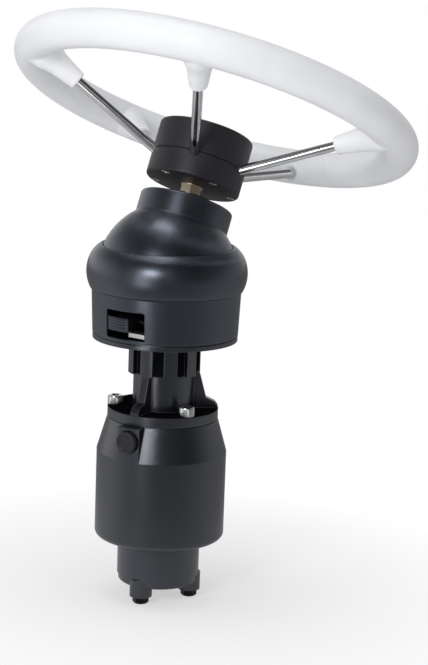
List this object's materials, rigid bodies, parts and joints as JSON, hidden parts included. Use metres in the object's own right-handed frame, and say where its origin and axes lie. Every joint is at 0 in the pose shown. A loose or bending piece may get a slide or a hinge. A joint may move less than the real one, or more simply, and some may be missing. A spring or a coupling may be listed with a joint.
{
  "type": "hydraulic helm pump",
  "caption": "Tilting hydraulic helm pump with a white spoked steering wheel, black hub, domed head with a release lever, ribbed neck, oil reservoir and end cap.",
  "frame": {"origin": "centre of the dash face, the underside of the base plate that rests on the dash", "axes": "+Z along the pump axis towards the wheel, the release lever and the filler plug face -Y, the wheel leans towards +Y"},
  "size_m": [0.35, 0.3224, 0.4963],
  "materials": {
    "rim_polyurethane": "fine satin white moulded polyurethane",
    "polished_spoke": "polished stainless steel rod",
    "hub_plastic": "black moulded plastic with a soft gloss",
    "black_plastic": "black moulded plastic with a fine grain",
    "black_cast_aluminium": "cast aluminium under black paint",
    "nitrile_rubber": "black nitrile rubber",
    "zinc_plated_steel": "bright zinc plate",
    "blackened_steel": "steel with a black oxide finish",
    "machined_steel": "turned and ground steel",
    "cast_aluminium": "bare cast aluminium",
    "grey_iron": "machined grey iron",
    "bearing_bronze": "plain bearing bronze"
  },
  "bodies": {
    "base": {"base_plate": "black_cast_aluminium", "bezel_skirt": "black_plastic", "neck_column": "black_cast_aluminium", "neck_screws": "zinc_plated_steel", "neck_bush": "bearing_bronze", "shaft_seal": "nitrile_rubber", "flange_screws": "zinc_plated_steel", "spigot_seal": "nitrile_rubber", "pump_housing": "black_cast_aluminium", "filler_plug": "black_plastic", "filler_seal": "nitrile_rubber", "swash_plate": "grey_iron", "thrust_race": "machined_steel", "valve_plate": "machined_steel", "end_cap": "black_cast_aluminium", "end_cap_seal": "nitrile_rubber", "end_cap_bolts": "blackened_steel", "pivot_pins": "machined_steel", "lever_pin": "machined_steel", "lever_spring": "zinc_plated_steel"},
    "tilt_head": {"tilt_yoke": "cast_aluminium", "tilt_sector": "zinc_plated_steel", "dome_cover": "black_plastic", "collar_nut": "hub_plastic", "upper_bush": "bearing_bronze", "lower_bush": "bearing_bronze"},
    "wheel": {"wheel_shaft": "machined_steel", "drive_pin": "machined_steel", "shaft_circlip": "machined_steel", "shaft_key": "machined_steel", "hub_core": "cast_aluminium", "hub_base": "hub_plastic", "hub_cover": "hub_plastic", "hub_screws": "zinc_plated_steel", "wheel_washer": "zinc_plated_steel", "wheel_nut": "zinc_plated_steel", "wheel_rim": "rim_polyurethane", "spoke_1": "polished_spoke", "spoke_2": "polished_spoke", "spoke_3": "polished_spoke", "spoke_4": "polished_spoke", "spoke_5": "polished_spoke"},
    "pump_rotor": {"pump_shaft": "machined_steel", "cylinder_block": "grey_iron", "piston_1": "machined_steel", "piston_2": "machined_steel", "piston_3": "machined_steel", "piston_4": "machined_steel", "piston_5": "machined_steel", "piston_6": "machined_steel", "piston_7": "machined_steel"},
    "lever": {"release_lever": "black_plastic", "latch_pawl": "zinc_plated_steel"}
  },
  "joints": [
    {"name": "head_tilt", "type": "hinge", "parent": "base", "child": "tilt_head", "pos_m": [0, 0, 0.0547], "axis": [1, 0, 0], "range_deg": [0, 48]},
    {"name": "wheel_spin", "type": "hinge", "parent": "tilt_head", "child": "wheel", "pos_m": [0, 0, 0.0547], "axis": [0, 0.4067, 0.9135], "continuous": true},
    {"name": "pump_spin", "type": "hinge", "parent": "base", "child": "pump_rotor", "pos_m": [0, 0, 0], "axis": [0, 0, 1], "continuous": true},
    {"name": "lever_press", "type": "hinge", "parent": "base", "child": "lever", "pos_m": [0, -0.044, 0.02], "axis": [1, 0, 0], "range_deg": [0, 7.2], "stiffness_Nm_per_rad": 0.5, "springref_deg": 11.46}
  ],
  "couplings": [
    {"joint": "pump_spin", "follows": "wheel_spin", "ratio": 1}
  ]
}
